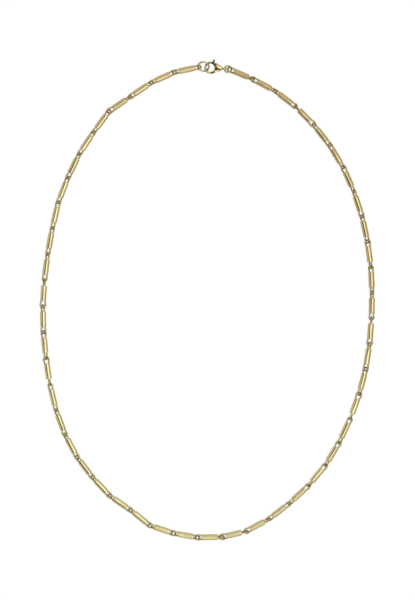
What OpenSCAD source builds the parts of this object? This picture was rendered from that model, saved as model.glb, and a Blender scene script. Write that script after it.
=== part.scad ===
// Tube necklace: a closed oval of slim tube links, each with a wire eye soldered on at both ends,
// fastened by a small lever clasp. It lies flat on the plane z = 0 with the clasp at the top of the
// oval, and the origin is under the middle of its outline. Millimetres, +Z up.

/* [Tube links] */
// Number of tube links round the necklace
link_count = 48; // [46:1:48]
// Outer diameter of a tube
tube_d = 2.3; // [2.2:0.05:2.35]
// Length of a tube without its eyes
tube_length = 6.1; // [6:0.05:6.15]
// Wall of the hollow tube
tube_wall = 0.25; // [0.2:0.05:0.35]
// Thickness of the plug that closes each end of a tube
tube_plug = 0.4; // [0.3:0.05:0.6]
// Wire of the eyes
eye_wire = 0.64; // [0.56:0.02:0.64]
// Outer diameter of an eye
eye_d = 2.76; // [2.72:0.02:2.8]
// Distance from the tube's end to the middle of its eye
eye_reach = 1.52; // [1.5:0.01:1.56]
// Distance between the two feet of an eye, on the tube's end
eye_foot_spacing = 1.5; // [1.46:0.02:1.56]
// Mean distance between the joints of the chain as it lies, a little less than taut
joint_step = 10.14; // [10.1:0.01:10.14]

/* [Rings] */
// Outer diameter of the jump ring that the clasp hooks into
jump_ring_d = 4.9; // [4.85:0.05:5]
// Wire of the jump ring
jump_ring_wire = 0.66; // [0.6:0.02:0.68]
// Slope of the jump ring, which passes over one side of the clasp's loop and under the other
jump_ring_tilt = 37; // [36:1:38]
// Outer diameter of the end ring between the clasp and the first tube link
end_ring_d = 3.36; // [3.34:0.02:3.38]
// Wire of the end ring
end_ring_wire = 0.6; // [0.5:0.02:0.62]
// Slope of the end ring
end_ring_tilt = -19; // [-20:0.5:-18]

/* [Clasp] */
// Diameter of the clasp's round hole
clasp_hole_d = 3.28; // [3.2:0.02:3.3]
// Thickness of the round bar of the hook
hook_bar = 0.78; // [0.7:0.02:0.8]
// Thickness of the two cheeks together, at the pivot
cheek_height = 2.4; // [2.3:0.05:2.4]
// Thickness of the ledge beside the cheeks, which runs from the hook to the tail
ledge_height = 1.2; // [1.1:0.05:1.25]
// Width of the groove between the cheeks and the ledge
groove_width = 0.3; // [0.24:0.02:0.32]
// Distance from the middle of the hole to the middle of the tail eye
tail_distance = 5.32; // [5.3:0.01:5.33]
// Outer diameter of the tail eye
tail_eye_d = 2.1; // [2.06:0.02:2.1]
// Bore of the tail eye
tail_bore_d = 1.46; // [1.44:0.02:1.48]
// Width of the tail eye, as seen from above
tail_eye_width = 0.64; // [0.6:0.02:0.66]
// Thickness of the lever
lever_bar = 0.56; // [0.5:0.02:0.58]
// Width of the lever, as seen from above
lever_width = 0.84; // [0.7:0.02:0.9]
// Slot between the cheeks, in which the lever turns
lever_slot = 0.76; // [0.74:0.02:0.8]
// Diameter of the pivot pin
pin_d = 0.5; // [0.45:0.05:0.55]
// Radial running clearance of the lever on its pin
pin_clearance = 0.04; // [0.03:0.01:0.08]

/* [Hidden] */
$fn = 48;
gold = [0.93, 0.80, 0.47];
pale_gold = [0.95, 0.85, 0.58];

// Route of the tube links on the surface, clockwise from the end ring to the jump ring.
// Columns: x, y. The last rows lead on through the clasp, so that the curve closes.
ROUTE = [
    [8.8, 90.9], [27, 82.25], [42, 69], [53.5, 52.5], [61, 33], [64.5, 13], [64.75, -7],
    [62.5, -27], [56.5, -46.5], [46.5, -65.25], [32.25, -80.25], [15, -91.25], [-4, -93.5],
    [-22.75, -88.75], [-30.5, -82.5], [-38.5, -77], [-51.5, -61.5], [-59.5, -43.5],
    [-63.5, -23], [-64.75, -2.5], [-62.75, 18.5], [-58.5, 39], [-54.75, 48.5],
    [-50.25, 57.75], [-38.5, 74.5], [-30.75, 79.75], [-22.75, 85.25], [-13, 89.75],
    [-3.5, 91.75], [3, 92.25]];

// How the slack lies along the chain: how far joint j is ahead of even spacing.
// Columns: joint number, distance.
SLACK_STATIONS = [
    [0, 0], [1, -0.25], [3, -0.4], [6, -0.3], [8, 0.25], [12, 0.25], [15, 0], [18, 0.85],
    [20, 1.4], [22, 1.5], [24, 0.6], [26, -0.4], [29, -0.9], [31, -1.25], [34, -0.4],
    [37, 0], [40, 0.85], [43, 1.55], [46, 1.5], [48, 1.15]];

// How the links roll as they lie: the slope of a link's first eye, its second eye being square to it.
// Columns: link number, degrees.
ROLL_STATIONS = [
    [1, 30], [2, 34], [4, 82], [5.5, 42], [7, 36], [8, 60], [9, 52], [10, 28], [11, 38],
    [13, 85], [16, 12], [17, 38], [19, 29], [21, 48], [23, 82], [26, 41], [32, 41], [33, 52],
    [34, 82], [37, 18], [38, 38], [40, 54], [42, 42], [44, 56], [45, 30], [47, 55], [48, 50]];

// Eyes and links
eye_r = (eye_d - eye_wire) / 2;
foot_distance = norm([eye_reach, eye_foot_spacing / 2]);
foot_angle = atan2(eye_foot_spacing / 2, eye_reach);
tangent_angle = foot_angle + acos(eye_r / foot_distance);
leg_length = sqrt(pow(foot_distance, 2) - pow(eye_r, 2));
solder_depth = 0.25;

// Rings and clasp, as they lie
jump_ring_r = (jump_ring_d - jump_ring_wire) / 2;
end_ring_r = (end_ring_d - end_ring_wire) / 2;
loop_r = (clasp_hole_d + hook_bar) / 2;
clasp_place = [1.31, 91.5, 1.56];
clasp_heading = -4.4;
clasp_pitch = 3;
jump_ring_place = [-1.47, 91.98, 1.65];
jump_ring_heading = -5;
end_ring_place = [8.18, 90.96, 1.24];
end_ring_heading = -11;
chain_end_z = 1.23;
lay_gap = 0.015;

// Clasp, in its own frame: the middle of its hole is the origin, +X runs to the tail and the
// lever is on the +Y side
pivot = [2.05, 0.95];
hook_tip_angle = 84;
hook_root_angle = 350;

// Cheeks: round at the pivot, a straight foot below it, and a narrow neck at the tail
cheek_r = 1.05;
foot_y = -0.45;
foot_x = pivot[0] - cheek_r / 2;
neck = [4.25, 0.2];
neck_r = 0.56;
plan_inset = 0.04;

// How the cheeks rise from the hole. Columns: place along X, share of the full half height.
CHEEK_RISE = [[1, 0.6], [1.6, 0.78], [2.4, 1]];

// Crest of the cheeks: round, and falling towards the tail
crest_at = [2.05, 1];
crest_heading = -20;
crest_fall = 9.5;
crest_r = 1.35;

// Ledge, which meets the tail at a round end, and how its thickness varies.
// Columns: place along X, share of the full half height.
ledge_end_x = 4.4;
ledge_end_r = 0.72;
ledge_inset = 0.06;
LEDGE_RISE = [[0, 0.65], [1.2, 0.75], [1.8, 1], [4.4, 0.7], [5, 0.7]];

// Groove along the foot of the cheeks, and the web left at its floor
groove_from_x = 1.7;
groove_to_x = 4;
groove_web = 0.32;

// Lever: a boss on the pin, a bent bar that closes the hook, and a nub for the thumbnail
boss_r = 0.56;
lever_reach = 2.35;
lever_root_angle = 26;
lever_tip_angle = 105;
nub_angle = 62;
nub_heading = 80;
nub_length = 1.3;
nub_d = 0.7;

// Room for the lever: a round slot at the pivot, and a fan that opens towards the hook's mouth.
// Columns: angle about the pivot, distance from it.
slot_r = 0.72;
slot_front = 2.4;
slot_fan = [[20, slot_r], [70, slot_front], [130, lever_reach], [195, lever_reach], [215, slot_r]];
lever_tip_gap = 0.09;
mouth_height = 1.8;

// Longer than any piece that it cuts
big = 12;

// Smooth closed curve through the route's points, and a place on it by its length
route_steps = 12;
route_count = len(ROUTE);
function route_point(i) = ROUTE[(i + route_count) % route_count];
function spline(a, b, c, d, t) =
    b + (c - a) * t / 2
    + (2 * a - 5 * b + 4 * c - d) * t * t / 2
    + (3 * b - a - 3 * c + d) * t * t * t / 2;
route_samples = [
    for (i = [0:route_count - 2], s = [0:route_steps - 1])
        spline(route_point(i - 1), route_point(i), route_point(i + 1), route_point(i + 2),
               s / route_steps)];
function running_length(i, total = 0, sums = [0]) =
    i >= len(route_samples) ? sums
    : let (next = total + norm(route_samples[i] - route_samples[i - 1]))
      running_length(i + 1, next, concat(sums, [next]));
route_lengths = running_length(1);
route_x = [for (i = [0:len(route_samples) - 1]) [route_lengths[i], route_samples[i][0]]];
route_y = [for (i = [0:len(route_samples) - 1]) [route_lengths[i], route_samples[i][1]]];

// Slope of link k's first eye
function link_roll(k) = lookup(k, ROLL_STATIONS);

// Joint j lies between links j and j + 1. Its height lets the steeper of its two eyes touch the
// surface, and never lets a tube sink into it.
function eye_height(slope) = eye_r * abs(sin(slope)) + eye_wire / 2;
function joint_z(j) =
    j == 0 || j == link_count ? chain_end_z
    : lay_gap + max(tube_d / 2, eye_height(link_roll(j) + 90), eye_height(link_roll(j + 1)));
function joint_distance(j) = j * joint_step + lookup(j, SLACK_STATIONS);
function joint(j) =
    [lookup(joint_distance(j), route_x), lookup(joint_distance(j), route_y), joint_z(j)];

// One wire eye: an arc at the tip and two legs that close in on the tube's end at x = 0
module wire_eye() {
    translate([eye_reach, 0, 0])
        rotate([0, 0, tangent_angle - 180])
            rotate_extrude(angle = 360 - 2 * tangent_angle)
                translate([eye_r, 0])
                    circle(d = eye_wire);
    for (side = [-1, 1])
        translate([eye_reach, 0, 0])
            rotate([0, 0, side * (180 - tangent_angle)])
                translate([eye_r, 0, 0])
                    rotate([side * -90, 0, 0])
                        cylinder(d = eye_wire, h = leg_length + solder_depth);
}

// One tube link along X, its middle at the origin, its first eye at the -X end
module tube_link(roll) {
    rotate([roll, 0, 0]) {
        difference() {
            rotate([0, 90, 0])
                cylinder(d = tube_d, h = tube_length, center = true);
            rotate([0, 90, 0])
                cylinder(d = tube_d - 2 * tube_wall, h = tube_length - 2 * tube_plug, center = true);
        }
        translate([tube_length / 2, 0, 0])
            rotate([90, 0, 0])
                wire_eye();
        mirror([1, 0, 0])
            translate([tube_length / 2, 0, 0])
                wire_eye();
    }
}

// Link k, laid between its two joints
module placed_link(k) {
    start = joint(k - 1);
    end = joint(k);
    run = end - start;
    translate((start + end) / 2)
        rotate([0, -asin(run[2] / norm(run)), atan2(run[1], run[0])])
            tube_link(link_roll(k));
}

half_count = floor(link_count / 2);

module tube_chain_right() {
    color(gold)
        for (k = [1:half_count])
            placed_link(k);
}

module tube_chain_left() {
    color(gold)
        for (k = [half_count + 1:link_count])
            placed_link(k);
}

// Closed wire ring, lying flat about the origin
module wire_ring(r, wire) {
    rotate_extrude()
        translate([r, 0])
            circle(d = wire);
}

module jump_ring() {
    color(pale_gold)
        translate(jump_ring_place)
            rotate([0, 0, jump_ring_heading])
                rotate([jump_ring_tilt, 0, 0])
                    wire_ring(jump_ring_r, jump_ring_wire);
}

module end_ring() {
    color(pale_gold)
        translate(end_ring_place)
            rotate([0, 0, end_ring_heading])
                rotate([end_ring_tilt, 0, 0])
                    wire_ring(end_ring_r, end_ring_wire);
}

// Puts a piece that is modelled in the clasp's own frame where the clasp lies, its tail a little low
module at_clasp() {
    translate(clasp_place)
        rotate([0, clasp_pitch, clasp_heading])
            children();
}

// Bar bent about the middle of the clasp's hole, between two angles: round, or flat above and below
module bent_bar(width, height, from_angle, to_angle) {
    rotate([0, 0, from_angle])
        rotate_extrude(angle = to_angle - from_angle)
            translate([loop_r, 0])
                intersection() {
                    circle(d = width);
                    square([width, height], center = true);
                }
}

// Ledge as seen from above: what a drop-shaped clasp has between the hook's bar and the tail, on
// the -Y side of its cheeks
module ledge_plan() {
    outer_r = loop_r + hook_bar / 2 - ledge_inset;
    lean = asin((outer_r - ledge_end_r) / ledge_end_x);
    out = [sin(lean), -cos(lean)];
    polygon([outer_r * out, [ledge_end_x, 0] + ledge_end_r * out, [ledge_end_x, 0], [0, 0]]);
}

// Cheeks and taper as seen from above: round at the pivot, narrow at the tail
module cheek_plan() {
    run = neck - pivot;
    lean = asin((cheek_r - neck_r) / norm(run));
    upper = atan2(run[1], run[0]) + 90 - lean;
    translate(pivot)
        circle(r = cheek_r);
    translate(neck)
        circle(r = neck_r);
    polygon([
        pivot + (cheek_r - plan_inset) * [cos(upper), sin(upper)],
        neck + (neck_r - plan_inset) * [cos(upper), sin(upper)],
        neck - [0, neck_r - plan_inset],
        [loop_r, foot_y],
        [foot_x, foot_y],
        pivot]);
}

// Outline of a plate along X as seen from the side, as thick as its rows say, alike above and below
module side_profile(rows, half_height) {
    last = len(rows) - 1;
    upper = [for (row = rows) [row[0], row[1] * half_height]];
    polygon(concat(upper, [for (i = [last:-1:0]) [upper[i][0], -upper[i][1]]]));
}

// The plate itself, wide enough to cut any piece
module plate(rows, half_height) {
    rotate([90, 0, 0])
        translate([0, 0, -big / 2])
            linear_extrude(height = big)
                side_profile(rows, half_height);
}

// Cheeks before the hole and the slots are cut: a plan, a rise from the hole, and a round crest
module cheek_form() {
    intersection() {
        translate([0, 0, -big / 2])
            linear_extrude(height = big)
                cheek_plan();
        plate(concat(CHEEK_RISE, [[big / 2, 1]]), cheek_height / 2);
        crest(1);
        crest(-1);
    }
}

// Round crest of one side, a long cylinder that reaches down past the other
module crest(side) {
    translate([crest_at[0], crest_at[1], side * (cheek_height / 2 - crest_r)])
        rotate([0, 90 + side * crest_fall, crest_heading])
            cylinder(r = crest_r, h = big, center = true);
}

// Ledge before the hole is cut
module ledge_form() {
    intersection() {
        translate([0, 0, -big / 2])
            linear_extrude(height = big)
                ledge_plan();
        plate(LEDGE_RISE, ledge_height / 2);
    }
}

// Groove along the foot of the cheeks, on one side of the web
module foot_groove(side) {
    lean = atan2(neck[1] - neck_r - foot_y, neck[0] - loop_r);
    translate([groove_from_x, foot_y, side * (groove_web + big) / 2])
        rotate([0, 0, lean])
            translate([0, -groove_width, -big / 2])
                cube([groove_to_x - groove_from_x, groove_width, big]);
}

module clasp_body() {
    color(pale_gold)
        at_clasp()
            difference() {
                union() {
                    bent_bar(hook_bar, hook_bar, hook_tip_angle, hook_root_angle);
                    difference() {
                        cheek_form();
                        cylinder(d = clasp_hole_d, h = big, center = true);
                    }
                    difference() {
                        ledge_form();
                        cylinder(r = loop_r, h = big, center = true);
                    }
                    translate([tail_distance, 0, 0])
                        rotate([90, 0, 0])
                            cylinder(d = tail_eye_d, h = tail_eye_width, center = true);
                }
                for (side = [-1, 1])
                    foot_groove(side);
                translate([tail_distance, 0, 0])
                    rotate([90, 0, 0])
                        cylinder(d = tail_bore_d, h = big, center = true);
                translate(pivot)
                    cylinder(d = pin_d, h = big, center = true);
                translate(pivot)
                    cylinder(r = slot_r, h = lever_slot, center = true);
                translate([0, 0, -lever_slot / 2])
                    linear_extrude(height = lever_slot)
                        polygon([
                            for (ray = slot_fan)
                                pivot + ray[1] * [cos(ray[0]), sin(ray[0])]]);
                translate([pivot[0], pivot[1], 0])
                    intersection() {
                        cylinder(r = lever_reach + lever_tip_gap, h = mouth_height, center = true);
                        translate([-big, 0, -big / 2])
                            cube([big - slot_r, big, big]);
                    }
            }
}

module clasp_lever() {
    color(pale_gold)
        at_clasp()
            difference() {
                union() {
                    intersection() {
                        bent_bar(lever_width, lever_bar, lever_root_angle, lever_tip_angle);
                        translate(pivot)
                            cylinder(r = lever_reach, h = big, center = true);
                    }
                    translate(pivot)
                        cylinder(r = boss_r, h = lever_bar, center = true);
                    rotate([0, 0, nub_angle])
                        translate([loop_r, 0, 0])
                            rotate([0, 90, nub_heading - nub_angle]) {
                                cylinder(d = nub_d, h = nub_length);
                                translate([0, 0, nub_length])
                                    sphere(d = nub_d);
                            }
                }
                translate(pivot)
                    cylinder(d = pin_d + 2 * pin_clearance, h = big, center = true);
            }
}

// The pin's ends are ground flush with the cheeks
module pivot_pin() {
    color(gold)
        at_clasp()
            intersection() {
                translate(pivot)
                    cylinder(d = pin_d, h = big, center = true);
                cheek_form();
            }
}

tube_chain_right();
tube_chain_left();
jump_ring();
end_ring();
clasp_body();
clasp_lever();
pivot_pin();
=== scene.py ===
"""Tube necklace: polished gold tube links, rings and lever clasp, on a pale floor, seen from above."""
import math

import bmesh
import bpy
import numpy as np
from mathutils import Matrix, Vector


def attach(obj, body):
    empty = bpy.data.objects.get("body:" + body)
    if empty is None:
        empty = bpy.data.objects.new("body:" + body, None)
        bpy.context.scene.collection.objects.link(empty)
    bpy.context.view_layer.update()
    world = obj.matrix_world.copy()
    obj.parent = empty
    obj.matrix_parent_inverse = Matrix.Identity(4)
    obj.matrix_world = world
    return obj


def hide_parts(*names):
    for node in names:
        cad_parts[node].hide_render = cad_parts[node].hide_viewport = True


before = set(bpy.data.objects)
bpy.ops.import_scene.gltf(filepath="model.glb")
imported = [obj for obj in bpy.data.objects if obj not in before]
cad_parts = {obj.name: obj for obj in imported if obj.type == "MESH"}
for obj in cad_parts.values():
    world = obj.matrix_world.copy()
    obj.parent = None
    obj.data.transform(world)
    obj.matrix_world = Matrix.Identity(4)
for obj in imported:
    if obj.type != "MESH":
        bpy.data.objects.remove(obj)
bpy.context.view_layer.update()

MM = 0.001

# The height of the photograph's frame, and the part of the surface that it shows
IMAGE_HEIGHT = 600
MM_PER_PIXEL = 0.394
VIEW_CENTRE = (0.12, 0.04)
LENS = 180.0
SENSOR = 36.0
CLIP_METRES = (0.01, 10.0)

# Tube links, in millimetres
LINK_COUNT = 48
TUBE_R = 1.15
TUBE_LENGTH = 6.1
TUBE_SIDES = 48
TUBE_EDGE = 0.13
TUBE_EDGE_STEPS = 6
EDGE_BAND = 0.3
CAP_R = 0.9
CAP_SEAM = 0.02
EYE_WIRE_R = 0.32
EYE_R = 1.06
EYE_REACH = 1.52
EYE_FOOT_SPACING = 1.5
EYE_SIDES = 20
EYE_ARC_POINTS = 37
SOLDER_DEPTH = 0.2
SOLDER_FLARE = 0.055
SOLDER_LENGTH = 0.3
# Points of an eye's leg, as distances along it from the tube's end, below zero inside the tube
LEG_STATIONS = (-SOLDER_DEPTH, -0.04, 0, 0.06, 0.13, 0.21, 0.32)
JOINT_STEP = 10.14
LAY_GAP = 0.015
CHAIN_END_Z = 1.23
SHARP_ANGLE = 38

# Painted shade on links and rings, darker where shade falls between parts. Pairs: distance up to which
# it is full, distance from which there is none
JOINT_PAINTED_SHADE = (0.5, 1.15)
CAP_PAINTED_SHADE_ALONG = (0.03, 0.2)
CAP_PAINTED_SHADE_ACROSS = (0.85, 1.05)
HOOK_PAINTED_SHADE = (0.35, 1.1)
EYE_PAINTED_SHADE = 0.55
EYE_PAINTED_SHADE_FADE = 0.2
# Painted light: the gold is tinted a little paler towards this side of the oval, and warmer towards the
# other
PAINTED_LIGHT_SIDE = 235.0
# Distance between the links' own places in the finish, so that no two look alike
OWN_PLACE_STEP = 17.0

# Rings and the clasp's place, in millimetres and degrees
JUMP_RING_R = 2.12
JUMP_RING_WIRE_R = 0.33
JUMP_RING_TILT = 37.0
JUMP_RING_HEADING = -5.0
JUMP_RING_PLACE = (-1.47, 91.98, 1.65)
JUMP_RING_SEAM_AT = 118.0
END_RING_R = 1.38
END_RING_WIRE_R = 0.3
END_RING_TILT = -19.0
END_RING_HEADING = -11.0
END_RING_PLACE = (8.18, 90.96, 1.24)
END_RING_SEAM_AT = 262.0
RING_SEAM = 0.03
RING_EDGE = 0.04
RING_POINTS = 133
RING_SIDES = 32
CLASP_PLACE = (1.31, 91.5, 1.56)
CLASP_HEADING = -4.4
CLASP_PITCH = 3.0

# Route of the tube links, clockwise from the end ring to the jump ring. Columns: x, y
ROUTE = (
    (8.8, 90.9), (27, 82.25), (42, 69), (53.5, 52.5), (61, 33), (64.5, 13), (64.75, -7),
    (62.5, -27), (56.5, -46.5), (46.5, -65.25), (32.25, -80.25), (15, -91.25), (-4, -93.5),
    (-22.75, -88.75), (-30.5, -82.5), (-38.5, -77), (-51.5, -61.5), (-59.5, -43.5),
    (-63.5, -23), (-64.75, -2.5), (-62.75, 18.5), (-58.5, 39), (-54.75, 48.5),
    (-50.25, 57.75), (-38.5, 74.5), (-30.75, 79.75), (-22.75, 85.25), (-13, 89.75),
    (-3.5, 91.75), (3, 92.25))

# How far joint j is ahead of even spacing. Columns: joint number, distance
SLACK_STATIONS = (
    (0, 0), (1, -0.25), (3, -0.4), (6, -0.3), (8, 0.25), (12, 0.25), (15, 0), (18, 0.85),
    (20, 1.4), (22, 1.5), (24, 0.6), (26, -0.4), (29, -0.9), (31, -1.25), (34, -0.4),
    (37, 0), (40, 0.85), (43, 1.55), (46, 1.5), (48, 1.15))

# Slope of a link's first eye as it lies. Columns: link number, degrees
ROLL_STATIONS = (
    (1, 30), (2, 34), (4, 82), (5.5, 42), (7, 36), (8, 60), (9, 52), (10, 28), (11, 38),
    (13, 85), (16, 12), (17, 38), (19, 29), (21, 48), (23, 82), (26, 41), (32, 41), (33, 52),
    (34, 82), (37, 18), (38, 38), (40, 54), (42, 42), (44, 56), (45, 30), (47, 55), (48, 50))


# Small helpers

def lookup(at, stations):
    """Value at a place in a table of (place, value) rows, straight between them."""
    return float(np.interp(at, [s[0] for s in stations], [s[1] for s in stations]))


def fade(value, full, none):
    """1 up to one value, 0 from another on, smooth between them."""
    t = np.clip((none - value) / (none - full), 0, 1)
    return t * t * (3 - 2 * t)


def turn_matrix(degrees, axis):
    return Matrix.Rotation(math.radians(degrees), 4, axis)


def moved(points, matrix):
    """Rows of points, carried by a matrix."""
    matrix = np.array(matrix)
    return points @ matrix[:3, :3].T + matrix[:3, 3]


def link_object(name, data):
    made = bpy.data.objects.new(name, data)
    bpy.context.scene.collection.objects.link(made)
    return made


def mesh_from(name, points, faces):
    mesh = bpy.data.meshes.new(name)
    mesh.from_pydata([tuple(p) for p in points], [], [tuple(int(i) for i in f) for f in faces])
    mesh.validate()
    mesh.update()
    return mesh


def mesh_arrays(mesh):
    """(points, list of faces) of a mesh."""
    points = np.zeros(len(mesh.vertices) * 3)
    mesh.vertices.foreach_get("co", points)
    return points.reshape(-1, 3), [tuple(p.vertices) for p in mesh.polygons]


def shade(mesh, sharp_angle):
    """Smooth shading, with a crease wherever two faces meet at more than the angle."""
    mesh.polygons.foreach_set("use_smooth", [True] * len(mesh.polygons))
    mesh.set_sharp_from_angle(angle=math.radians(sharp_angle))


def store(mesh, name, values, kind="FLOAT"):
    """Keep a number or a vector for each point of a mesh, for its material to read."""
    stored = mesh.attributes.new(name, kind, "POINT")
    field = "vector" if kind == "FLOAT_VECTOR" else "value"
    stored.data.foreach_set(field, np.asarray(values, np.float32).ravel())


# Camera, straight above the middle of the photograph's frame

def add_camera():
    data = bpy.data.cameras.new("camera")
    data.sensor_width = SENSOR
    data.lens = LENS
    data.dof.use_dof = False
    data.clip_start, data.clip_end = CLIP_METRES
    camera = link_object("camera", data)
    bpy.context.scene.camera = camera
    covered = IMAGE_HEIGHT * MM_PER_PIXEL
    distance = covered * LENS / SENSOR + TUBE_R
    camera.location = (VIEW_CENTRE[0] * MM, VIEW_CENTRE[1] * MM, distance * MM)


add_camera()


# Route: a smooth curve through the points, and the links laid along it

def route_samples(steps=12):
    """Points along a Catmull-Rom curve through the route, and the length up to each."""
    points = np.array(ROUTE, float)
    count = len(points)
    samples = []
    for i in range(count - 1):
        a, b, c, d = (points[(i + k) % count] for k in (-1, 0, 1, 2))
        for t in np.arange(steps) / steps:
            samples.append(
                b + (c - a) * t / 2
                + (2 * a - 5 * b + 4 * c - d) * t * t / 2
                + (3 * b - a - 3 * c + d) * t * t * t / 2)
    samples = np.array(samples)
    pieces = np.linalg.norm(np.diff(samples, axis=0), axis=1)
    return samples, np.concatenate([[0.0], np.cumsum(pieces)])


ROUTE_POINTS, ROUTE_LENGTHS = route_samples()


def eye_height(slope):
    """How far an eye reaches up from the link's axis when it stands at a slope."""
    return EYE_R * abs(math.sin(math.radians(slope))) + EYE_WIRE_R


def joint(j):
    """Middle of joint j, between links j and j + 1."""
    at = j * JOINT_STEP + lookup(j, SLACK_STATIONS)
    x = float(np.interp(at, ROUTE_LENGTHS, ROUTE_POINTS[:, 0]))
    y = float(np.interp(at, ROUTE_LENGTHS, ROUTE_POINTS[:, 1]))
    if j in (0, LINK_COUNT):
        return Vector((x, y, CHAIN_END_Z))
    first = eye_height(lookup(j, ROLL_STATIONS) + 90)
    second = eye_height(lookup(j + 1, ROLL_STATIONS))
    return Vector((x, y, LAY_GAP + max(TUBE_R, first, second)))


def link_matrix(k):
    """Place of link k: its middle, its heading, its lean and its roll."""
    start, end = joint(k - 1), joint(k)
    run = end - start
    lean = -math.degrees(math.asin(run.z / run.length))
    heading = math.degrees(math.atan2(run.y, run.x))
    return (
        Matrix.Translation((start + end) / 2)
        @ turn_matrix(heading, "Z")
        @ turn_matrix(lean, "Y")
        @ turn_matrix(lookup(k, ROLL_STATIONS), "X"))


# Tube link: a turned tube with round ends, and a swept wire eye soldered on at each end

def lathe(profile, sides):
    """Closed solid of (x, radius) rows turned about X, each end closed by a fan about the axis."""
    points, faces = [], []
    angles = np.arange(sides) * 2 * math.pi / sides
    for x, radius in profile:
        points += [(x, radius * math.cos(a), radius * math.sin(a)) for a in angles]
    for ring in range(len(profile) - 1):
        for i in range(sides):
            a, b = ring * sides + i, ring * sides + (i + 1) % sides
            faces.append((a, b, b + sides, a + sides))
    first, last = len(points), len(points) + 1
    points += [(profile[0][0], 0, 0), (profile[-1][0], 0, 0)]
    end = (len(profile) - 1) * sides
    for i in range(sides):
        faces.append((first, (i + 1) % sides, i))
        faces.append((last, end + i, end + (i + 1) % sides))
    return points, faces


def tube_profile():
    """Outline of the tube: cap, fine seam round it, rounded edge, narrow band of wall, long wall."""
    half = TUBE_LENGTH / 2
    side = [
        (half, CAP_R - 2 * CAP_SEAM), (half - CAP_SEAM, CAP_R - CAP_SEAM / 2),
        (half - CAP_SEAM, CAP_R + CAP_SEAM / 2), (half, CAP_R + 2 * CAP_SEAM)]
    for step in range(TUBE_EDGE_STEPS + 1):
        a = step * math.pi / 2 / TUBE_EDGE_STEPS
        side.append((
            half - TUBE_EDGE * (1 - math.cos(a)), TUBE_R - TUBE_EDGE * (1 - math.sin(a))))
    side += [(half - TUBE_EDGE - EDGE_BAND, TUBE_R), (half / 3, TUBE_R)]
    return [(-x, r) for x, r in side] + [(x, r) for x, r in reversed(side)]


def eye_path():
    """Middle line of an eye from one foot to the other, as (x, y) rows from the tube's end at x = 0."""
    foot = math.hypot(EYE_REACH, EYE_FOOT_SPACING / 2)
    tangent = math.atan2(EYE_FOOT_SPACING / 2, EYE_REACH) + math.acos(EYE_R / foot)
    leg = math.sqrt(foot * foot - EYE_R * EYE_R)
    touch = np.array([
        EYE_REACH - EYE_R * math.cos(tangent), -EYE_R * math.sin(tangent)])
    down = np.array([0, -EYE_FOOT_SPACING / 2]) - touch
    down = down / np.linalg.norm(down)
    left = [touch + down * (leg - station) for station in LEG_STATIONS]
    turns = np.linspace(tangent - math.pi, math.pi - tangent, EYE_ARC_POINTS)
    arc = [
        np.array([EYE_REACH + EYE_R * math.cos(a), EYE_R * math.sin(a)]) for a in turns]
    return left + arc + [p * (1, -1) for p in reversed(left)]


def eye_radius(x):
    """Wire radius, flaring where the solder joins it to the tube's end."""
    near = min(max(1 - x / SOLDER_LENGTH, 0), 1)
    return EYE_WIRE_R + SOLDER_FLARE * near * near


def sweep(path, radii, sides):
    """Round bar with flat ends, along points that lie in the XY plane."""
    path = np.array(path, float)
    last = len(path) - 1
    points, faces = [], []
    for i, (x, y) in enumerate(path):
        ahead = path[min(i + 1, last)] - path[max(i - 1, 0)]
        ahead = ahead / np.linalg.norm(ahead)
        for s in range(sides):
            a = 2 * math.pi * s / sides
            r = radii[i] * math.cos(a)
            points.append((x - ahead[1] * r, y + ahead[0] * r, radii[i] * math.sin(a)))
    for i in range(last):
        for s in range(sides):
            a, b = i * sides + s, i * sides + (s + 1) % sides
            faces.append((a, a + sides, b + sides, b))
    faces.append(tuple(range(sides)))
    faces.append(tuple(last * sides + s for s in reversed(range(sides))))
    return points, faces


def joined_union(base, others):
    """Mesh of the exact union of objects, which are used up."""
    for other in others:
        union = base.modifiers.new("union", "BOOLEAN")
        union.operation = "UNION"
        union.solver = "EXACT"
        union.object = other
    bpy.context.view_layer.update()
    graph = bpy.context.evaluated_depsgraph_get()
    mesh = bpy.data.meshes.new_from_object(base.evaluated_get(graph))
    for used in [base, *others]:
        bpy.data.objects.remove(used)
    return mesh


def link_mesh():
    """One tube link along X, in millimetres, its middle at the origin."""
    tube = link_object("tube", mesh_from("tube", *lathe(tube_profile(), TUBE_SIDES)))
    path = eye_path()
    points, faces = sweep(path, [eye_radius(p[0]) for p in path], EYE_SIDES)
    at_end = Matrix.Translation((TUBE_LENGTH / 2, 0, 0))
    eyes = []
    for place in (at_end @ turn_matrix(90, "X"), turn_matrix(180, "Z") @ at_end):
        eye = link_object("eye", mesh_from("eye", points, faces))
        eye.data.transform(place)
        eyes.append(eye)
    return joined_union(tube, eyes)


def link_painted_shade(points):
    """Painted shade that every link has: on its tube's caps, and less on its eyes."""
    along = np.abs(points[:, 0])
    caps = fade(np.abs(along - TUBE_LENGTH / 2), *CAP_PAINTED_SHADE_ALONG)
    caps *= fade(np.hypot(points[:, 1], points[:, 2]), *CAP_PAINTED_SHADE_ACROSS)
    eyes = 1 - fade(along, TUBE_LENGTH / 2, TUBE_LENGTH / 2 + EYE_PAINTED_SHADE_FADE)
    return np.maximum(caps, EYE_PAINTED_SHADE * eyes)


def joint_painted_shade(points, joints):
    """Painted shade round the middles of joints, between the two wires."""
    return np.max([
        fade(np.linalg.norm(points - np.array(joint(j)), axis=1), *JOINT_PAINTED_SHADE)
        for j in joints], axis=0)


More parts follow.
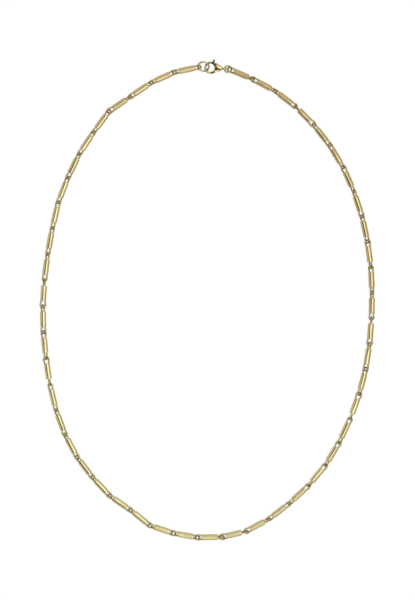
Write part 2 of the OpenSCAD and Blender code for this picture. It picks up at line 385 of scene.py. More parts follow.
def add_chain(name, links, template):
    """Links laid along the route and joined as one mesh."""
    base_points, base_faces = mesh_arrays(template)
    own_shade = link_painted_shade(base_points)
    points, faces, own_places, painted_shade = [], [], [], []
    for k in links:
        start = len(points) * len(base_points)
        faces += [tuple(start + i for i in f) for f in base_faces]
        points.append(moved(base_points, link_matrix(k)))
        own_places.append(base_points + (k * OWN_PLACE_STEP, 0, 0))
        # Painted shade: darker round this link's joints, on its caps and on its eyes
        painted_shade.append(np.maximum(joint_painted_shade(points[-1], (k - 1, k)), own_shade))
    points = np.concatenate(points)
    mesh = mesh_from(name, points * MM, faces)
    store(mesh, "along_link", np.concatenate(own_places), "FLOAT_VECTOR")
    store(mesh, "painted_shade", np.concatenate(painted_shade))
    # Painted light: share of the paler tint, by the bearing round the oval
    bearing = np.arctan2(points[:, 1], points[:, 0])
    store(mesh, "pale", 0.5 + 0.5 * np.cos(bearing - math.radians(PAINTED_LIGHT_SIDE)))
    shade(mesh, SHARP_ANGLE)
    made = link_object(name, mesh)
    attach(made, "necklace")
    return made


# Rings: round wire, closed but for a hairline seam

def ring_matrix(place, heading, tilt):
    return Matrix.Translation(place) @ turn_matrix(heading, "Z") @ turn_matrix(tilt, "X")


def add_ring(name, radius, wire_r, tilt, heading, place, seam_at):
    """Ring with its seam at a direction in its own plane, its wire's ends softened."""
    half_gap = math.degrees(RING_SEAM / radius / 2)
    turns = np.radians(np.linspace(seam_at + half_gap, seam_at + 360 - half_gap, RING_POINTS))
    edge = RING_EDGE / radius
    turns = [turns[0], turns[0] + edge, *turns[1:-1], turns[-1] - edge, turns[-1]]
    radii = [wire_r] * len(turns)
    radii[0] = radii[-1] = wire_r - RING_EDGE
    path = [(radius * math.cos(a), radius * math.sin(a)) for a in turns]
    points, faces = sweep(path, radii, RING_SIDES)
    mesh = mesh_from(name, points, faces)
    laid = ring_matrix(place, heading, tilt)
    points = moved(np.array(points), laid)
    from_hook = hook_distance(*moved(points, clasp_matrix().inverted()).T)
    # Painted shade: darker where the wire passes the hook's bar and round the chain's end joints
    painted_shade = np.maximum(fade(from_hook, *HOOK_PAINTED_SHADE), joint_painted_shade(points, (0, LINK_COUNT)))
    mesh.transform(Matrix.Scale(MM, 4) @ laid)
    store(mesh, "painted_shade", painted_shade)
    shade(mesh, SHARP_ANGLE)
    made = link_object(name, mesh)
    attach(made, "necklace")
    return made


# Clasp: solids given by their signed distance, so that every edge and corner is softly rounded

def unit(degrees):
    """Direction in the XY plane."""
    return np.array([math.cos(math.radians(degrees)), math.sin(math.radians(degrees))])


def both(a, b, soft):
    """Intersection of two distances, its edge rounded."""
    near = np.maximum(soft - np.abs(a - b), 0) / soft
    return np.maximum(a, b) + near * near * soft / 4


def either(a, b, soft):
    """Union of two distances, its corner filleted."""
    return -both(-a, -b, soft)


def without(a, b, soft):
    """The first distance with the second cut out, its edge rounded."""
    return both(a, -b, soft)


def point_distance(x, y, point):
    return np.hypot(x - point[0], y - point[1])


def polygon_distance(corners, u, v):
    """Signed distance to a closed polygon, negative inside."""
    corners = np.array(corners, float)
    best = np.full(np.broadcast(u, v).shape, np.inf)
    inside = np.zeros(best.shape, bool)
    for i in range(len(corners)):
        a, b = corners[i - 1], corners[i]
        run = b - a
        t = np.clip(((u - a[0]) * run[0] + (v - a[1]) * run[1]) / (run @ run), 0, 1)
        best = np.minimum(best, np.hypot(u - a[0] - t * run[0], v - a[1] - t * run[1]))
        if a[1] != b[1]:
            crossing = (v < a[1]) != (v < b[1])
            inside ^= crossing & (u < a[0] + (v - a[1]) / run[1] * run[0])
    return np.where(inside, -best, best)


def arc_distance(x, y, z, radius, from_angle, to_angle):
    """(distance across, distance along Z) to an arc about the origin, as two parts of one distance."""
    middle = math.radians((from_angle + to_angle) / 2)
    half = math.radians((to_angle - from_angle) / 2)
    turn = np.arctan2(y, x) - middle
    turn = (turn + math.pi) % (2 * math.pi) - math.pi
    held = np.clip(turn, -half, half) + middle
    across = np.hypot(x - radius * np.cos(held), y - radius * np.sin(held))
    return across, np.abs(z) * np.ones_like(across)


# Hook and pivot, in the clasp's own frame, millimetres and degrees
HOLE_R = 1.64
BAR_R = 0.39
LOOP_R = HOLE_R + BAR_R
HOOK_FROM = 84.0
HOOK_TO = 350.0
PIVOT = np.array([2.05, 0.95])
PIN_R = 0.25
PIN_SEAM = 0.012
PIN_CLEARANCE = 0.04

# Cheeks, with their crest and the groove along their foot
CHEEK_R = 1.05
CHEEK_HEIGHT = 2.4
FOOT = np.array([PIVOT[0] - CHEEK_R / 2, -0.45])
NECK = np.array([4.25, 0.2])
NECK_R = 0.56
CREST_AT = np.array([2.05, 1.0])
CREST_HEADING = -20.0
CREST_FALL = 9.5
CREST_R = 1.35
GROOVE_X = (1.7, 4.0)
GROOVE_WIDTH = 0.3
GROOVE_WEB = 0.32

# Ledge and tail eye
LEDGE_HEIGHT = 1.2
LEDGE_END_X = 4.4
LEDGE_END_R = 0.72
LEDGE_INSET = 0.06
TAIL_X = 5.32
TAIL_R = 1.05
TAIL_BORE_R = 0.73
TAIL_WIDTH = 0.64

# How the cheeks and the ledge rise. Columns: place along X, share of the full half height
CHEEK_RISE = ((1, 0.6), (1.6, 0.78), (2.4, 1))
LEDGE_RISE = ((0, 0.65), (1.2, 0.75), (1.8, 1), (4.4, 0.7), (5, 0.7))

# Lever, its slot and the hook's mouth. Columns of SLOT_CORNERS: direction and distance from the pivot
LEVER_WIDTH = 0.84
LEVER_BAR = 0.56
LEVER_FROM = 26.0
LEVER_TO = 105.0
LEVER_REACH = 2.35
LEVER_TIP_GAP = 0.09
LEVER_SLOT = 0.76
BOSS_R = 0.56
NUB_ANGLE = 62.0
NUB_HEADING = 80.0
NUB_LENGTH = 1.3
NUB_R = 0.35
SLOT_R = 0.72
SLOT_CORNERS = ((20, SLOT_R), (70, 2.4), (130, LEVER_REACH), (195, LEVER_REACH), (215, SLOT_R))
MOUTH_HEIGHT = 1.8

# How soft the edges and corners are
EDGE = 0.22
FINE_EDGE = 0.1
PIN_EDGE = 0.05
BORE_EDGE = 0.04
FILLET = 0.3


def half_height(x, rows, full_height):
    """Half height at places along X."""
    return np.interp(x, [r[0] for r in rows], [r[1] * full_height / 2 for r in rows])


def hook_distance(x, y, z):
    across, up = arc_distance(x, y, z, LOOP_R, HOOK_FROM, HOOK_TO)
    return np.hypot(across, up) - BAR_R


def ledge_distance(x, y, z):
    """Ledge between the hook's bar and the tail."""
    outer = LOOP_R + BAR_R - LEDGE_INSET
    lean = math.asin((outer - LEDGE_END_R) / LEDGE_END_X)
    out = np.array([math.sin(lean), -math.cos(lean)])
    end = np.array([LEDGE_END_X, 0.0])
    plan = polygon_distance([outer * out, end + LEDGE_END_R * out, end, (0, 0)], x, y)
    plan = both(plan, LOOP_R - np.hypot(x, y), FINE_EDGE)
    return both(plan, np.abs(z) - half_height(x, LEDGE_RISE, LEDGE_HEIGHT), EDGE)


def cheek_plan_distance(x, y):
    """Plan of the cheeks: round at the pivot, narrow at the tail, with a straight foot."""
    run = NECK - PIVOT
    lean = math.asin((CHEEK_R - NECK_R) / np.linalg.norm(run))
    upper = math.degrees(math.atan2(run[1], run[0]) - lean) + 90
    outline = [
        PIVOT + CHEEK_R * unit(upper), NECK + NECK_R * unit(upper), NECK - (0, NECK_R),
        (LOOP_R, FOOT[1]), FOOT, PIVOT]
    plan = polygon_distance(outline, x, y)
    plan = np.minimum(plan, point_distance(x, y, PIVOT) - CHEEK_R)
    return np.minimum(plan, point_distance(x, y, NECK) - NECK_R)


def crest_distance(x, y, z):
    """Round crest above and below, falling towards the tail."""
    ahead = unit(CREST_HEADING)
    fall = math.radians(CREST_FALL)
    along = (x - CREST_AT[0]) * ahead[0] + (y - CREST_AT[1]) * ahead[1]
    aside = (y - CREST_AT[1]) * ahead[0] - (x - CREST_AT[0]) * ahead[1]
    above = np.abs(z) - CHEEK_HEIGHT / 2 + CREST_R
    return np.hypot(aside, along * math.sin(fall) + above * math.cos(fall)) - CREST_R


def cheek_distance(x, y, z):
    """Both cheeks as one form, before the hole, the slot and the groove are cut."""
    cheeks = both(
        cheek_plan_distance(x, y), np.abs(z) - half_height(x, CHEEK_RISE, CHEEK_HEIGHT), EDGE)
    return both(cheeks, crest_distance(x, y, z), EDGE)


def groove_distance(x, y, z):
    """Groove along the foot of the cheeks, above and below its web."""
    lean = math.atan2(NECK[1] - NECK_R - FOOT[1], NECK[0] - LOOP_R)
    along = (x - GROOVE_X[0]) * math.cos(lean) + (y - FOOT[1]) * math.sin(lean)
    aside = (y - FOOT[1]) * math.cos(lean) - (x - GROOVE_X[0]) * math.sin(lean)
    half = (GROOVE_X[1] - GROOVE_X[0]) / 2
    plan = np.maximum(
        np.abs(along - half) - half, np.abs(aside + GROOVE_WIDTH / 2) - GROOVE_WIDTH / 2)
    return np.maximum(plan, GROOVE_WEB / 2 - np.abs(z))


def slot_distance(x, y, z):
    """Slot between the cheeks, in which the lever turns."""
    corners = [PIVOT + reach * unit(direction) for direction, reach in SLOT_CORNERS]
    slot = np.minimum(point_distance(x, y, PIVOT) - SLOT_R, polygon_distance(corners, x, y))
    return np.maximum(slot, np.abs(z) - LEVER_SLOT / 2)


def mouth_distance(x, y, z):
    """Room that the lever's tip needs in the hook."""
    mouth = np.maximum(
        point_distance(x, y, PIVOT) - LEVER_REACH - LEVER_TIP_GAP,
        np.maximum(x - PIVOT[0] + SLOT_R, PIVOT[1] - y))
    return np.maximum(mouth, np.abs(z) - MOUTH_HEIGHT / 2)


def clasp_body_distance(x, y, z):
    """Hook, cheeks, ledge and tail eye, with their bores, groove, slot and mouth."""
    cheeks = without(cheek_distance(x, y, z), np.hypot(x, y) - HOLE_R, FINE_EDGE)
    from_tail = np.hypot(x - TAIL_X, z)
    tail = both(from_tail - TAIL_R, np.abs(y) - TAIL_WIDTH / 2, EDGE)
    body = either(hook_distance(x, y, z), cheeks, FINE_EDGE)
    body = either(body, ledge_distance(x, y, z), FINE_EDGE)
    body = either(body, tail, FILLET)
    body = without(body, groove_distance(x, y, z), FINE_EDGE)
    body = without(body, point_distance(x, y, PIVOT) - PIN_R - PIN_SEAM, FINE_EDGE)
    body = without(body, from_tail - TAIL_BORE_R, EDGE)
    body = without(body, slot_distance(x, y, z), FINE_EDGE)
    return without(body, mouth_distance(x, y, z), FINE_EDGE)


def clasp_lever_distance(x, y, z):
    """Lever: a flat bar bent like the hook, a boss on the pin and a round thumb nub."""
    across, up = arc_distance(x, y, z, LOOP_R, LEVER_FROM, LEVER_TO)
    bar = both(np.hypot(across, up) - LEVER_WIDTH / 2, up - LEVER_BAR / 2, EDGE)
    from_pivot = point_distance(x, y, PIVOT)
    bar = both(bar, from_pivot - LEVER_REACH, FINE_EDGE)
    boss = both(from_pivot - BOSS_R, np.abs(z) - LEVER_BAR / 2, FINE_EDGE)
    lever = either(bar, boss, FINE_EDGE)
    foot = LOOP_R * unit(NUB_ANGLE)
    ahead = unit(NUB_HEADING)
    along = np.clip((x - foot[0]) * ahead[0] + (y - foot[1]) * ahead[1], 0, NUB_LENGTH)
    nub = np.sqrt(
        (x - foot[0] - along * ahead[0]) ** 2 + (y - foot[1] - along * ahead[1]) ** 2 + z * z)
    lever = either(lever, nub - NUB_R, EDGE)
    return without(lever, from_pivot - PIN_R - PIN_CLEARANCE, BORE_EDGE)


def pivot_pin_distance(x, y, z):
    """Pin, its ends ground flush with the cheeks."""
    return both(point_distance(x, y, PIVOT) - PIN_R, cheek_distance(x, y, z), PIN_EDGE)


# Surface of a signed distance: a point in each grid cell that it crosses, then evened out along it

EVEN_ROUNDS = 4
PULL_ROUNDS = 2
SLOPE_REACH = 0.125
LEAST_SLOPE = 0.25


def slope_at(distance, points, reach):
    """Slope of a distance at points."""
    slope = np.zeros_like(points)
    for i in range(3):
        shift = np.zeros(3)
        shift[i] = reach
        slope[:, i] = distance(*(points + shift).T) - distance(*(points - shift).T)
    return slope / (2 * reach)


def grid_part(axis, start, stop):
    """Index of the part of a grid from start to stop along one axis."""
    part = [slice(None)] * 3
    part[axis] = slice(start, stop)
    return tuple(part)


def cell_points(value):
    """(which cells of a grid the surface crosses, middle of its crossings in each, in cells)"""
    inside = value < 0
    cells = [n - 1 for n in value.shape]
    total = np.zeros((*cells, 3))
    count = np.zeros(cells)
    for axis in range(3):
        near, far = grid_part(axis, None, -1), grid_part(axis, 1, None)
        crossed = inside[near] != inside[far]
        fall = np.where(crossed, value[near] - value[far], 1)
        share = np.where(crossed, value[near] / fall, 0)
        second, third = (i for i in range(3) if i != axis)
        for u in (0, 1):
            for v in (0, 1):
                part = [slice(None)] * 3
                part[second] = slice(u, u + cells[second])
                part[third] = slice(v, v + cells[third])
                hit = crossed[tuple(part)]
                count += hit
                total[..., axis] += np.where(hit, share[tuple(part)], 0)
                total[..., second] += hit * u
                total[..., third] += hit * v
    active = count > 0
    corner = np.stack(np.nonzero(active), axis=1)
    return active, corner + total[active] / count[active][:, None]


def cell_faces(value, active):
    """Four-sided faces, each round one grid edge that the surface crosses, facing out."""
    inside = value < 0
    number = np.full(active.shape, -1)
    number[active] = np.arange(int(active.sum()))
    faces = []
    for axis in range(3):
        second, third = (axis + 1) % 3, (axis + 2) % 3
        starts = inside[grid_part(axis, None, -1)]
        places = np.stack(np.nonzero(starts != inside[grid_part(axis, 1, None)]), axis=1)
        corners = []
        for u, v in ((-1, -1), (0, -1), (0, 0), (-1, 0)):
            cell = places.copy()
            cell[:, second] += u
            cell[:, third] += v
            corners.append(number[tuple(cell.T)])
        quads = np.stack(corners, axis=1)
        inward = ~starts[tuple(places.T)]
        quads[inward] = quads[inward][:, ::-1]
        faces.append(quads)
    return np.concatenate(faces)


def evened_out(distance, points, faces, step):
    """Points drawn to the middle of their neighbours and back onto the surface, in turn."""
    pairs = np.concatenate([faces[:, [i, (i + 1) % 4]] for i in range(4)])
    around = np.bincount(pairs[:, 0], minlength=len(points)).astype(float)
    for _ in range(EVEN_ROUNDS):
        mean = np.stack([
            np.bincount(pairs[:, 0], points[pairs[:, 1], i], len(points)) for i in range(3)],
            axis=1) / around[:, None]
        points = points + (mean - points) / 2
        for _ in range(PULL_ROUNDS):
            slope = slope_at(distance, points, step * SLOPE_REACH)
            steep = np.maximum((slope ** 2).sum(1), LEAST_SLOPE)
            move = np.clip(distance(*points.T) / steep, -step, step)
            points = points - slope * move[:, None]
    return points


def surface(distance, low, high, step):
    """(points, faces) of the surface where a distance is zero."""
    low = np.array(low, float)
    size = [int(math.ceil((end - start) / step)) + 1 for start, end in zip(low, high)]
    axes = [low[i] + step * np.arange(size[i]) for i in range(3)]
    value = distance(
        axes[0][:, None, None], axes[1][None, :, None], axes[2][None, None, :])
    value = np.broadcast_to(value, size)
    active, middles = cell_points(value)
    faces = cell_faces(value, active)
    return evened_out(distance, low + step * middles, faces, step), faces


# Clasp pieces: their painted shade and their place

# Painted shade in the clasp's corners, by the room in front of the surface as a share of the reach at
# which
# it is looked for. Pairs, also below: full, none
ROOM_REACH = 0.35
ROOM_PAINTED_SHADE = (0.25, 0.8)
# Painted shade inside the loop: its greatest share, the direction of its middle, its reach to either
# side in degrees, and its reach outwards from the hook's middle line
LOOP_PAINTED_SHADE = 0.8
LOOP_PAINTED_SHADE_MIDDLE = 85
LOOP_PAINTED_SHADE_SIDES = (50, 85)
LOOP_PAINTED_SHADE_OUT = (0.05, 0.35)
# Round places of painted shade: at the nub's foot, beside the body's step, and where the wire meets the
# body
PAINTED_SHADE_SPOTS = (
    (LOOP_R * unit(NUB_ANGLE) + 0.3 * unit(NUB_HEADING), (0.35, 0.9)),
    ((2.3, -0.2), (0.4, 1.0)),
    ((0.92, -1.84), (0.35, 0.85)))
CLASP_SHARP_ANGLE = 60


def clasp_matrix():
    return (
        Matrix.Translation(CLASP_PLACE) @ turn_matrix(CLASP_HEADING, "Z")
        @ turn_matrix(CLASP_PITCH, "Y"))


def near_clasp_distance(x, y, z):
    """Distance to whatever is nearest at the clasp: its body, its lever or the jump ring's wire."""
    ring = clasp_matrix().inverted() @ ring_matrix(
        JUMP_RING_PLACE, JUMP_RING_HEADING, JUMP_RING_TILT)
    spots = moved(np.stack([x, y, z], axis=1), ring.inverted())
    across = np.hypot(spots[:, 0], spots[:, 1]) - JUMP_RING_R
    wire = np.hypot(across, spots[:, 2]) - JUMP_RING_WIRE_R
    return np.minimum(
        np.minimum(clasp_body_distance(x, y, z), clasp_lever_distance(x, y, z)), wire)


def corner_painted_shade(distance, points, step):
    """Painted shade by the room in front of each point, square to its surface."""
    out = slope_at(distance, points, step * SLOPE_REACH)
    out /= np.linalg.norm(out, axis=1)[:, None]
    room = near_clasp_distance(*(points + out * ROOM_REACH).T) / ROOM_REACH
    return fade(room, *ROOM_PAINTED_SHADE)


def place_painted_shade(points):
    """Painted shade by place: inside the loop's upper half, and in the spots."""
    direction = np.degrees(np.arctan2(points[:, 1], points[:, 0]))
    out = np.hypot(points[:, 0], points[:, 1]) - LOOP_R
    share = LOOP_PAINTED_SHADE * fade(out, *LOOP_PAINTED_SHADE_OUT)
    share *= fade(np.abs(direction - LOOP_PAINTED_SHADE_MIDDLE), *LOOP_PAINTED_SHADE_SIDES)
    for spot, reach in PAINTED_SHADE_SPOTS:
        away = point_distance(points[:, 0], points[:, 1], spot)
        share = np.maximum(share, fade(away, *reach))
    return share


def add_clasp_piece(name, body, distance, low, high, step):
    """Piece of the clasp from its distance within a box, laid in the clasp's place."""
    points, faces = surface(distance, low, high, step)
    mesh = mesh_from(name, points, faces)
    # Painted shade: darker in the clasp's corners, inside the loop and in the spots
    store(mesh, "painted_shade", np.maximum(corner_painted_shade(distance, points, step), place_painted_shade(points)))
    mesh.transform(Matrix.Scale(MM, 4) @ clasp_matrix())
    shade(mesh, CLASP_SHARP_ANGLE)
    made = link_object(name, mesh)
    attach(made, body)
    return made


# Node trees

class Nodes:
    """Short way to build a node tree. An input gets a value, or the output that feeds it."""

    def __init__(self, tree):
        self.tree = tree
        tree.nodes.clear()

    def add(self, kind, inputs=None, **settings):
        node = self.tree.nodes.new(kind)
        for key, value in settings.items():
            setattr(node, key, value)
        for key, value in (inputs or {}).items():
            if isinstance(value, bpy.types.NodeSocket):
                self.tree.links.new(value, node.inputs[key])
            else:
                node.inputs[key].default_value = value
        return node


def new_material(name):
    """(material, its node tree)"""
    material = bpy.data.materials.new(name)
    material.use_nodes = True
    return material, Nodes(material.node_tree)


def mix_colour(nodes, share, first, second, blend="MIX"):
    """From the first colour to the second by a share. The node's sockets 6, 7 and 2 are its colours."""
    node = nodes.add(
        "ShaderNodeMix", {0: share, 6: first, 7: second}, data_type="RGBA", blend_type=blend)
    return node.outputs[2]


def stored_share(nodes, name):
    return nodes.add("ShaderNodeAttribute", attribute_name=name).outputs["Fac"]


def noise(nodes, place, scale=1.0, detail=1.0, roughness=0.5):
    return nodes.add("ShaderNodeTexNoise", {
        "Vector": place, "Scale": scale, "Detail": detail, "Roughness": roughness}).outputs["Fac"]


def stretched(nodes, place, scales):
    """A place scaled by itself along each axis."""
    return nodes.add("ShaderNodeMapping", {"Vector": place, "Scale": scales}).outputs["Vector"]


def relief(nodes, height, strength, depth, under=None):
    """Normal of a height, its depth in millimetres, over that of another relief."""
    inputs = {"Height": height, "Strength": strength, "Distance": depth * MM}
    if under:
        inputs["Normal"] = under
    return nodes.add("ShaderNodeBump", inputs).outputs["Normal"]


def number_math(nodes, operation, *values):
    return nodes.add("ShaderNodeMath", dict(enumerate(values)), operation=operation).outputs["Value"]


def vector_math(nodes, operation, *values):
    """Vector, or the number that a length and a dot product give."""
    node = nodes.add("ShaderNodeVectorMath", dict(enumerate(values)), operation=operation)
    return node.outputs["Value" if operation in ("LENGTH", "DOT_PRODUCT") else "Vector"]


def smooth_step(nodes, value, start, end):
    """From 0 at start to 1 at end."""
    node = nodes.add(
        "ShaderNodeMapRange", {"Value": value, "From Min": start, "From Max": end},
        interpolation_type="SMOOTHSTEP")
    return node.outputs["Result"]


# Gold

# Dark tones mixed into the gold as painted shade, by each piece's stored share
PAINTED_SHADE_TONE = (0.42, 0.29, 0.02)
CLASP_PAINTED_SHADE_TONE = (0.13, 0.088, 0.012)
# Painted light tints of the links, towards the warmer and the paler side
WARM_PAINTED_LIGHT = (0.92, 0.86, 0.80)
PALE_PAINTED_LIGHT = (1.04, 1.12, 1.14)
GLANCING_TINT = (1.0, 0.90, 0.62)
CLOUD_STOPS = (0.32, 0.62)
# Sizes of the finish: scale along each axis for a millimetre, and depth in millimetres
SCRATCH_SCALE = (0.5, 9, 9)
SCRATCH_DEPTH = 0.004
SCRATCH_STRENGTH = 0.25
WAVE_SCALE = 0.55
WAVE_DEPTH = 0.06
STREAK_SCALE = (0.1, 0.8, 0.8)
# From the weakest scratches to the strongest, and what share of the roughness they give
SCRATCH_RANGE = (0.3, 0.75)
ROUGHNESS_RANGE = (0.7, 1.6)


def clouded(nodes, place, scale, deep, colour):
    """Colour that is a little deeper in places."""
    cloud = noise(nodes, place, scale, detail=3.0, roughness=0.55)
    tone = nodes.add("ShaderNodeValToRGB", {"Fac": cloud})
    for stop, position, stop_colour in zip(tone.color_ramp.elements, CLOUD_STOPS, (deep, colour)):
        stop.position = position
        stop.color = (*stop_colour, 1)
    return tone.outputs["Color"]


def gold(name, colour, deep, roughness, cloud_scale, wave, on_links=False, streak=0.0, dark=PAINTED_SHADE_TONE):
    """Polished gold: clouded, with painted shade in its hollows, with waves left by hand polishing and
    hairline scratches. On the links it follows each tube, with a tint of painted light by place round
    the oval and with the flats of drawing."""
    material, nodes = new_material(name)
    if on_links:
        place = nodes.add("ShaderNodeAttribute", attribute_name="along_link").outputs["Vector"]
        per_mm = 1.0
    else:
        place = nodes.add("ShaderNodeTexCoord").outputs["Object"]
        per_mm = 1.0 / MM
    tone = clouded(nodes, place, cloud_scale * per_mm, deep, colour)
    if on_links:
        # Painted light: the tint by place round the oval
        tint = mix_colour(nodes, stored_share(nodes, "pale"), (*WARM_PAINTED_LIGHT, 1), (*PALE_PAINTED_LIGHT, 1))
        tone = mix_colour(nodes, 1.0, tone, tint, "MULTIPLY")
    # Painted shade: the dark tone mixed in by the stored share
    tone = mix_colour(nodes, stored_share(nodes, "painted_shade"), tone, (*dark, 1))
    drawn_out = stretched(nodes, place, [s * per_mm for s in SCRATCH_SCALE])
    scratches = noise(nodes, drawn_out, detail=4.0, roughness=0.7)
    rough = nodes.add("ShaderNodeMapRange", {
        "Value": scratches, "From Min": SCRATCH_RANGE[0], "From Max": SCRATCH_RANGE[1],
        "To Min": roughness * ROUGHNESS_RANGE[0], "To Max": roughness * ROUGHNESS_RANGE[1]})
    form = relief(nodes, noise(nodes, place, WAVE_SCALE * per_mm), wave, WAVE_DEPTH)
    if streak:
        flats = noise(nodes, stretched(nodes, place, [s * per_mm for s in STREAK_SCALE]))
        form = relief(nodes, flats, strength=1.0, depth=streak, under=form)
    form = relief(nodes, scratches, SCRATCH_STRENGTH, SCRATCH_DEPTH, form)
    shader = nodes.add("ShaderNodeBsdfPrincipled", {
        "Metallic": 1.0, "IOR": 1.45, "Specular Tint": (*GLANCING_TINT, 1), "Base Color": tone,
        "Roughness": rough.outputs["Result"], "Normal": form})
    nodes.add("ShaderNodeOutputMaterial", {0: shader.outputs[0]})
    return material


def finish_piece(piece, material, slot_name, *nodes):
    piece.data.materials.clear()
    piece.data.materials.append(material)
    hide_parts(*nodes)


# The pieces

def add_links():
    chain_gold = gold(
        "chain_gold", (0.94, 0.785, 0.41), (0.90, 0.735, 0.36), roughness=0.07, cloud_scale=0.35,
        wave=0.9, on_links=True, streak=0.16)
    template = link_mesh()
    half = LINK_COUNT // 2
    right = add_chain("tube_links_right", range(1, half + 1), template)
    finish_piece(right, chain_gold, "gold_links", "tube_chain_right")
    left = add_chain("tube_links_left", range(half + 1, LINK_COUNT + 1), template)
    finish_piece(left, chain_gold, "gold_links", "tube_chain_left")
    bpy.data.meshes.remove(template)


def add_rings():
    ring_gold = gold(
        "ring_gold", (0.84, 0.69, 0.34), (0.72, 0.58, 0.27), roughness=0.10, cloud_scale=0.5,
        wave=0.5)
    jump = add_ring(
        "clasp_jump_ring", JUMP_RING_R, JUMP_RING_WIRE_R, JUMP_RING_TILT, JUMP_RING_HEADING,
        JUMP_RING_PLACE, JUMP_RING_SEAM_AT)
    finish_piece(jump, ring_gold, "gold_rings", "jump_ring")
    end = add_ring(
        "tail_end_ring", END_RING_R, END_RING_WIRE_R, END_RING_TILT, END_RING_HEADING,
        END_RING_PLACE, END_RING_SEAM_AT)
    finish_piece(end, ring_gold, "gold_rings", "end_ring")


def add_clasp():
    clasp_gold = gold(
        "clasp_gold", (0.90, 0.76, 0.40), (0.70, 0.57, 0.27), roughness=0.12, cloud_scale=0.4,
        wave=0.5, dark=CLASP_PAINTED_SHADE_TONE)
    # Painted shade: the lever's gold is a much darker copy of the clasp's gold
    lever_shaded_gold = gold(
        "lever_shaded_gold", (0.30, 0.25, 0.09), (0.22, 0.18, 0.06), roughness=0.16, cloud_scale=0.4,
        wave=0.5, dark=CLASP_PAINTED_SHADE_TONE)
    pin_gold = gold(
        "pin_gold", (0.90, 0.76, 0.44), (0.84, 0.69, 0.38), roughness=0.22, cloud_scale=0.8,
        wave=0.3)
    body = add_clasp_piece(
        "clasp_hook_and_cheeks", "necklace", clasp_body_distance,
        low=(-2.6, -2.6, -1.4), high=(6.9, 2.7, 1.4), step=0.05)
    finish_piece(body, clasp_gold, "gold_clasp", "clasp_body")
    lever = add_clasp_piece(
        "clasp_thumb_lever", "lever", clasp_lever_distance,
        low=(-0.8, 0.2, -0.5), high=(2.9, 3.7, 0.5), step=0.04)
    finish_piece(lever, lever_shaded_gold, "gold_clasp", "clasp_lever")
    pin = add_clasp_piece(
        "clasp_rivet", "necklace", pivot_pin_distance,
        low=(1.5, 0.4, -1.4), high=(2.6, 1.5, 1.4), step=0.03)
    finish_piece(pin, pin_gold, "gold_pin", "pivot_pin")


add_links()
add_rings()
add_clasp()


# Floor: a white sheet, a little overexposed for the eye and plain pale in reflections

SHEET_REACH = 3.0
SHEET_TONE = (0.23, 0.23, 0.23)
SHEET_GLOW = 0.75
# Painted shade: the sheet as mirrored in the metal is darker than it looks, standing in for its shade
# round the pieces
MIRRORED_SHEET_TONE = (0.40, 0.39, 0.345)


def add_floor():
    corners = [
        (x * SHEET_REACH, y * SHEET_REACH, 0) for x, y in ((-1, -1), (1, -1), (1, 1), (-1, 1))]
    mesh = mesh_from("floor", corners, [(0, 1, 2, 3)])
    floor = link_object("floor", mesh)
    material, nodes = new_material("white_sheet")
    sheet = nodes.add("ShaderNodeBsdfDiffuse", {"Color": (*SHEET_TONE, 1)})
    glow = nodes.add("ShaderNodeEmission", {"Strength": SHEET_GLOW})
    seen = nodes.add("ShaderNodeAddShader", {0: sheet.outputs[0], 1: glow.outputs[0]})
    mirrored = nodes.add("ShaderNodeBsdfDiffuse", {"Color": (*MIRRORED_SHEET_TONE, 1)})
    by_eye = nodes.add("ShaderNodeLightPath").outputs["Is Camera Ray"]
    mix = nodes.add("ShaderNodeMixShader", {0: by_eye, 1: mirrored.outputs[0], 2: seen.outputs[0]})
    nodes.add("ShaderNodeOutputMaterial", {0: mix.outputs[0]})
    mesh.materials.append(material)


# Studio: what lights the sheet, and what the metal mirrors

STUDIO_TONE = (0.585, 0.585, 0.60)

# Patches in the sky. Columns: azimuth, angle from straight up, radius (full, none), tone
STUDIO_PATCHES = (
    (262, 30, (8, 26), (0.86, 0.86, 0.82)),
    (228, 48, (6, 24), (0.11, 0.075, 0.022)))

# Dark flag on the left: part of a ring, in the plan of the sky. Pairs: full, none
FLAG_TONE = (0.05, 0.03, 0.005)
FLAG_CENTRE = (0.0, -0.14)
FLAG_RADIUS = 0.54
FLAG_HALF_WIDTH = (0.15, 0.24)
FLAG_MIDDLE = 170.0
FLAG_REACH = (36, 66)
FLAG_HEIGHT = (0.5, 0.3)


def add_light(name, place, energy, size):
    """Lamp that lights the sheet and isn't mirrored in the metal."""
    data = bpy.data.lights.new(name, "AREA")
    data.shape = "DISK"
    data.size = size
    data.energy = energy
    made = link_object(name, data)
    made.location = place
    made.rotation_euler = (-Vector(place)).to_track_quat("-Z", "Y").to_euler()
    made.visible_camera = False
    made.visible_glossy = False


def only_mirrored(made):
    """Hide a thing from all but reflections."""
    made.visible_camera = False
    made.visible_diffuse = False
    made.visible_shadow = False


def add_softbox(name, place, radius, core, colour):
    """Round softbox: full inside the core's share of its radius, and fading to its rim."""
    mesh = bpy.data.meshes.new(name)
    disc = bmesh.new()
    bmesh.ops.create_circle(disc, cap_ends=True, segments=64, radius=radius)
    disc.to_mesh(mesh)
    disc.free()
    made = link_object(name, mesh)
    made.location = place
    made.rotation_euler = (-Vector(place)).to_track_quat("Z", "Y").to_euler()
    only_mirrored(made)
    material, nodes = new_material(name)
    glow = nodes.add("ShaderNodeEmission", {"Color": (*colour, 1)})
    clear = nodes.add("ShaderNodeBsdfTransparent")
    from_middle = vector_math(nodes, "LENGTH", nodes.add("ShaderNodeTexCoord").outputs["Object"])
    share = smooth_step(nodes, from_middle, radius, radius * core)
    mix = nodes.add("ShaderNodeMixShader", {0: share, 1: clear.outputs[0], 2: glow.outputs[0]})
    nodes.add("ShaderNodeOutputMaterial", {0: mix.outputs[0]})
    mesh.materials.append(material)


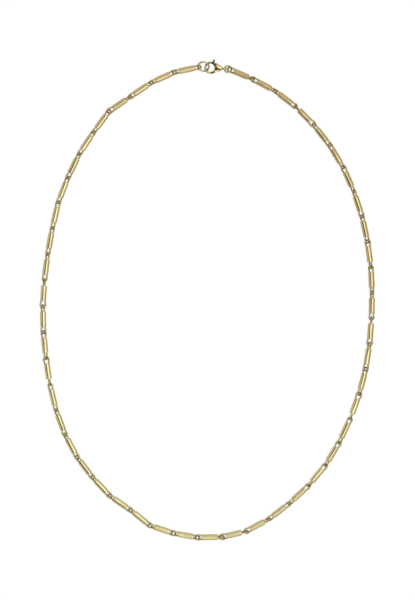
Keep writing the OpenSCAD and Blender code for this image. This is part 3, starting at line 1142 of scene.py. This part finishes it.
def add_card(name, place, width, height, tone):
    """Upright card on the right, facing the middle."""
    corners = [
        (0, y * width / 2, z * height / 2) for y, z in ((-1, -1), (1, -1), (1, 1), (-1, 1))]
    mesh = mesh_from(name, corners, [(0, 1, 2, 3)])
    made = link_object(name, mesh)
    made.location = place
    only_mirrored(made)
    material, nodes = new_material(name)
    glow = nodes.add("ShaderNodeEmission", {"Color": (*tone, 1)})
    nodes.add("ShaderNodeOutputMaterial", {0: glow.outputs[0]})
    mesh.materials.append(material)


def cosine(degrees):
    return math.cos(math.radians(degrees))


def patch_share(nodes, direction, azimuth, from_top, full, none):
    """1 within so many degrees of a direction, 0 beyond so many."""
    a, t = math.radians(azimuth), math.radians(from_top)
    middle = (math.cos(a) * math.sin(t), math.sin(a) * math.sin(t), math.cos(t))
    near = vector_math(nodes, "DOT_PRODUCT", direction, middle)
    return smooth_step(nodes, near, cosine(none), cosine(full))


def flag_share(nodes, direction):
    """1 in a curved strip on the left, seen from below as part of a ring about the top."""
    aside = vector_math(nodes, "SUBTRACT", direction, (*FLAG_CENTRE, 0))
    flat = vector_math(nodes, "MULTIPLY", aside, (1, 1, 0))
    past_ring = number_math(nodes, "SUBTRACT", vector_math(nodes, "LENGTH", flat), FLAG_RADIUS)
    from_ring = number_math(nodes, "ABSOLUTE", past_ring)
    turn = math.radians(FLAG_MIDDLE)
    middle = (math.cos(turn), math.sin(turn), 0)
    near = vector_math(nodes, "DOT_PRODUCT", vector_math(nodes, "NORMALIZE", flat), middle)
    height = nodes.add("ShaderNodeSeparateXYZ", {0: direction}).outputs["Z"]
    in_width = smooth_step(nodes, from_ring, FLAG_HALF_WIDTH[1], FLAG_HALF_WIDTH[0])
    in_reach = smooth_step(nodes, near, cosine(FLAG_REACH[1]), cosine(FLAG_REACH[0]))
    in_height = smooth_step(nodes, height, FLAG_HEIGHT[1], FLAG_HEIGHT[0])
    return number_math(nodes, "MULTIPLY", number_math(nodes, "MULTIPLY", in_width, in_reach), in_height)


def add_world():
    """Sky of the studio: mid grey, with a pale patch and a dark one towards the front, and the flag."""
    world = bpy.data.worlds.new("studio")
    bpy.context.scene.world = world
    world.use_nodes = True
    nodes = Nodes(world.node_tree)
    direction = nodes.add("ShaderNodeTexCoord").outputs["Generated"]
    tone = (*STUDIO_TONE, 1)
    for azimuth, from_top, radius, patch_tone in STUDIO_PATCHES:
        share = patch_share(nodes, direction, azimuth, from_top, *radius)
        tone = mix_colour(nodes, share, tone, (*patch_tone, 1))
    tone = mix_colour(nodes, flag_share(nodes, direction), tone, (*FLAG_TONE, 1))
    back = nodes.add("ShaderNodeBackground", {"Color": tone, "Strength": 1.0})
    nodes.add("ShaderNodeOutputWorld", {0: back.outputs[0]})


add_floor()
add_world()
add_softbox(
    "softbox", place=(0.185, -0.02, 0.46), radius=0.25, core=0.56, colour=(1.27, 1.34, 1.49))
add_card("dim_card", place=(0.3, 0.0, 0.065), width=0.6, height=0.13, tone=(0.36, 0.32, 0.23))
add_light("overhead", place=(0.15, -0.1, 1.2), energy=12.0, size=0.9)

scene = bpy.context.scene
scene.view_settings.view_transform = "Standard"
scene.view_settings.look = "None"
